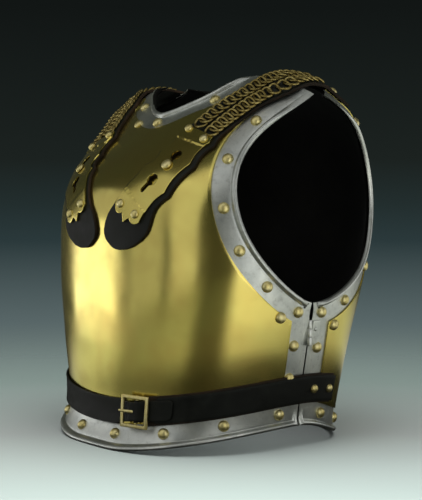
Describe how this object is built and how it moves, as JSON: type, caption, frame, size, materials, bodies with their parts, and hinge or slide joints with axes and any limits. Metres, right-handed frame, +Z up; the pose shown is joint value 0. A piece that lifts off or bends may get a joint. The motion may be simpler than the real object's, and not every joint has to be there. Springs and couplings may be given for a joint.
{
  "type": "cuirass",
  "caption": "Cuirass of a brass-faced steel breast and back joined by a side hinge, with chained shoulder straps hooked on studs and a buckled leather waist belt.",
  "frame": {"origin": "on the resting plane of the hem, below the middle of the whole cuirass", "axes": "+Z up, -Y out of the breast, +X to the wearer's left"},
  "size_m": [0.3714, 0.3437, 0.4199],
  "materials": {
    "steel": "polished steel",
    "brass": "polished sheet, lightly stained",
    "stud_brass": "polished",
    "chain_brass": "tarnished",
    "leather": "black, waxed",
    "lining": "dark cloth"
  },
  "bodies": {
    "back": {"back_plate": "steel", "back_facing": "brass", "back_lining": "lining", "hinge_leaf_back": "steel", "hinge_pin": "steel", "hinge_rivet": "steel", "belt_left_end": "leather", "belt_right_end": "leather", "belt_rivet_left_1": "stud_brass", "belt_rivet_left_2": "stud_brass", "belt_rivet_right_1": "stud_brass", "belt_rivet_right_2": "stud_brass", "strap_anchor_left": "leather", "strap_anchor_right": "leather", "anchor_stud_left": "stud_brass", "anchor_stud_right": "stud_brass"},
    "breast": {"breast_plate": "steel", "breast_facing": "brass", "breast_lining": "lining", "hinge_leaf_front": "steel", "belt_left": "leather", "buckle_frame": "stud_brass", "strap_stud_left": "stud_brass", "strap_stud_right": "stud_brass"},
    "buckle_prong": {"buckle_prong": "stud_brass"},
    "belt_right": {"belt_right": "leather"},
    "strap_left": {"strap_leather_left": "leather", "chain_inner_left": "chain_brass", "chain_outer_left": "chain_brass"},
    "plate_left": {"keyhole_plate_left": "brass", "strap_tongue_left": "leather", "low_rivet_inner_left": "stud_brass", "low_rivet_outer_left": "stud_brass", "end_rivet_inner_left": "stud_brass", "end_rivet_outer_left": "stud_brass"},
    "strap_right": {"strap_leather_right": "leather", "chain_inner_right": "chain_brass", "chain_outer_right": "chain_brass"},
    "plate_right": {"keyhole_plate_right": "brass", "strap_tongue_right": "leather", "low_rivet_inner_right": "stud_brass", "low_rivet_outer_right": "stud_brass", "end_rivet_inner_right": "stud_brass", "end_rivet_outer_right": "stud_brass"}
  },
  "joints": [
    {"name": "side_hinge", "type": "hinge", "parent": "back", "child": "breast", "pos_m": [0.1755, 0, 0.128], "axis": [0, 0, 1], "range_deg": [0, 40]},
    {"name": "buckle_prong_swing", "type": "hinge", "parent": "breast", "child": "buckle_prong", "pos_m": [0.06439, -0.15128, 0.04355], "axis": [-0.02, 0.087, 0.996], "range_deg": [0, 80]},
    {"name": "belt_right_swing", "type": "hinge", "parent": "back", "child": "belt_right", "pos_m": [-0.1705, 0.012, 0.0647], "axis": [0, 0, -1], "range_deg": [0, 80]},
    {"name": "strap_left_lift", "type": "hinge", "parent": "back", "child": "strap_left", "pos_m": [0.13271, 0.05438, 0.41057], "axis": [-0.9806, 0, 0.1959], "range_deg": [0, 108]},
    {"name": "plate_left_tilt", "type": "hinge", "parent": "strap_left", "child": "plate_left", "pos_m": [0.09519, -0.0817, 0.35304], "axis": [-0.9371, 0.079, 0.34], "range_deg": [0, 90]},
    {"name": "strap_right_lift", "type": "hinge", "parent": "back", "child": "strap_right", "pos_m": [-0.13271, 0.05438, 0.41057], "axis": [-0.9806, 0, -0.1959], "range_deg": [0, 108]},
    {"name": "plate_right_tilt", "type": "hinge", "parent": "strap_right", "child": "plate_right", "pos_m": [-0.09519, -0.0817, 0.35304], "axis": [-0.9371, -0.079, -0.34], "range_deg": [0, 90]}
  ],
  "couplings": [
    {"joint": "strap_left_lift", "follows": "side_hinge", "ratio": 2.7},
    {"joint": "strap_right_lift", "follows": "side_hinge", "ratio": 2.7},
    {"joint": "belt_right_swing", "follows": "side_hinge", "ratio": 2}
  ]
}
